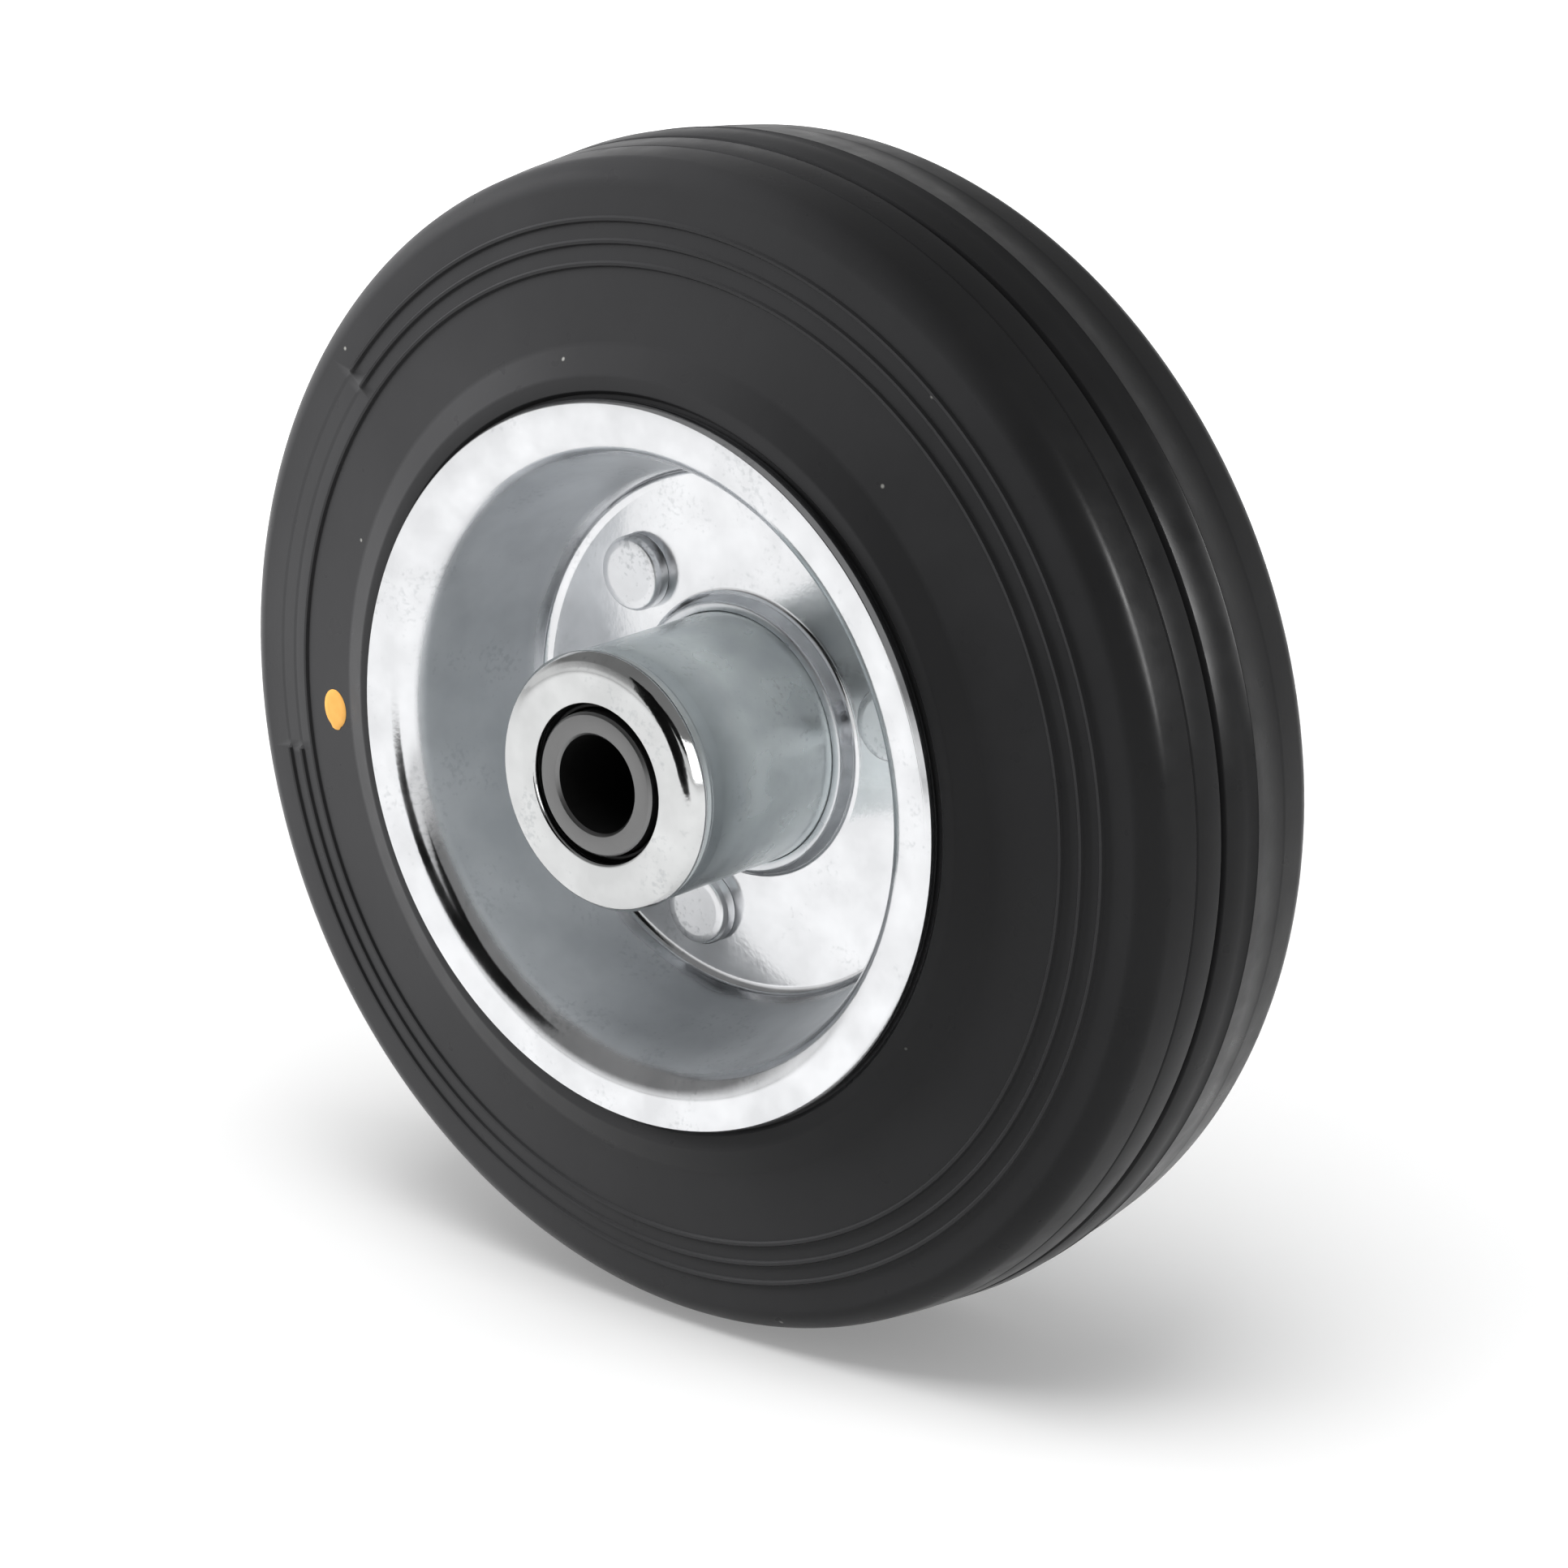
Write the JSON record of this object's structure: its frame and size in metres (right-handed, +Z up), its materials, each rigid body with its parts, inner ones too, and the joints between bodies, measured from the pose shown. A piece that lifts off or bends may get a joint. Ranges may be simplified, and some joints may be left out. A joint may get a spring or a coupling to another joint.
{
  "type": "industrial wheel",
  "caption": "Solid rubber industrial wheel: ribbed black tyre clamped between pressed zinc-plated steel discs, with a roller-bearing hub, pressed end caps and an axle sleeve.",
  "frame": {"origin": "centre of the wheel, on the axle's axis and in the tyre's middle plane", "axes": "Y along the axle with the pictured face looking along -Y, +Z up, +X to the right as seen from that face"},
  "size_m": [0.125, 0.05, 0.125],
  "materials": {
    "tyre": "satin black solid rubber",
    "zinc_sheet": "bright zinc-plated pressed sheet",
    "zinc_rivet": "satin zinc-plated",
    "zinc_tube": "satin zinc-plated tube",
    "zinc_cap": "bright zinc-plated pressing",
    "black_plastic": "matte black",
    "cage_plastic": "matte, hidden inside",
    "ground_steel": "satin ground steel",
    "bearing_steel": "polished, hidden inside"
  },
  "bodies": {
    "axle": {"axle_sleeve": "ground_steel"},
    "wheel": {"tyre": "tyre", "rim_disc_front": "zinc_sheet", "rim_disc_back": "zinc_sheet", "rivet_1": "zinc_rivet", "rivet_2": "zinc_rivet", "rivet_3": "zinc_rivet", "hub_tube": "zinc_tube", "hub_cap_front": "zinc_cap", "hub_cap_back": "zinc_cap", "dust_ring_front": "black_plastic", "dust_ring_back": "black_plastic"},
    "cage": {"roller_cage": "cage_plastic"},
    "roller_01": {"roller_01": "bearing_steel"},
    "roller_02": {"roller_02": "bearing_steel"},
    "roller_03": {"roller_03": "bearing_steel"},
    "roller_04": {"roller_04": "bearing_steel"},
    "roller_05": {"roller_05": "bearing_steel"},
    "roller_06": {"roller_06": "bearing_steel"},
    "roller_07": {"roller_07": "bearing_steel"},
    "roller_08": {"roller_08": "bearing_steel"},
    "roller_09": {"roller_09": "bearing_steel"},
    "roller_10": {"roller_10": "bearing_steel"}
  },
  "joints": [
    {"name": "wheel_spin", "type": "hinge", "parent": "axle", "child": "wheel", "pos_m": [0, 0, 0], "axis": [0, 1, 0], "continuous": true},
    {"name": "cage_spin", "type": "hinge", "parent": "axle", "child": "cage", "pos_m": [0, 0, 0], "axis": [0, 1, 0], "continuous": true},
    {"name": "roller_01_spin", "type": "hinge", "parent": "cage", "child": "roller_01", "pos_m": [0.0092, 0, 0], "axis": [0, 1, 0], "continuous": true},
    {"name": "roller_02_spin", "type": "hinge", "parent": "cage", "child": "roller_02", "pos_m": [0.00744, 0, 0.00541], "axis": [0, 1, 0], "continuous": true},
    {"name": "roller_03_spin", "type": "hinge", "parent": "cage", "child": "roller_03", "pos_m": [0.00284, 0, 0.00875], "axis": [0, 1, 0], "continuous": true},
    {"name": "roller_04_spin", "type": "hinge", "parent": "cage", "child": "roller_04", "pos_m": [-0.00284, 0, 0.00875], "axis": [0, 1, 0], "continuous": true},
    {"name": "roller_05_spin", "type": "hinge", "parent": "cage", "child": "roller_05", "pos_m": [-0.00744, 0, 0.00541], "axis": [0, 1, 0], "continuous": true},
    {"name": "roller_06_spin", "type": "hinge", "parent": "cage", "child": "roller_06", "pos_m": [-0.0092, 0, 0], "axis": [0, 1, 0], "continuous": true},
    {"name": "roller_07_spin", "type": "hinge", "parent": "cage", "child": "roller_07", "pos_m": [-0.00744, 0, -0.00541], "axis": [0, 1, 0], "continuous": true},
    {"name": "roller_08_spin", "type": "hinge", "parent": "cage", "child": "roller_08", "pos_m": [-0.00284, 0, -0.00875], "axis": [0, 1, 0], "continuous": true},
    {"name": "roller_09_spin", "type": "hinge", "parent": "cage", "child": "roller_09", "pos_m": [0.00284, 0, -0.00875], "axis": [0, 1, 0], "continuous": true},
    {"name": "roller_10_spin", "type": "hinge", "parent": "cage", "child": "roller_10", "pos_m": [0.00744, 0, -0.00541], "axis": [0, 1, 0], "continuous": true}
  ],
  "couplings": [
    {"joint": "cage_spin", "follows": "wheel_spin", "ratio": 0.59239},
    {"joint": "roller_01_spin", "follows": "wheel_spin", "ratio": 2.6135},
    {"joint": "roller_02_spin", "follows": "wheel_spin", "ratio": 2.6135},
    {"joint": "roller_03_spin", "follows": "wheel_spin", "ratio": 2.6135},
    {"joint": "roller_04_spin", "follows": "wheel_spin", "ratio": 2.6135},
    {"joint": "roller_05_spin", "follows": "wheel_spin", "ratio": 2.6135},
    {"joint": "roller_06_spin", "follows": "wheel_spin", "ratio": 2.6135},
    {"joint": "roller_07_spin", "follows": "wheel_spin", "ratio": 2.6135},
    {"joint": "roller_08_spin", "follows": "wheel_spin", "ratio": 2.6135},
    {"joint": "roller_09_spin", "follows": "wheel_spin", "ratio": 2.6135},
    {"joint": "roller_10_spin", "follows": "wheel_spin", "ratio": 2.6135}
  ]
}
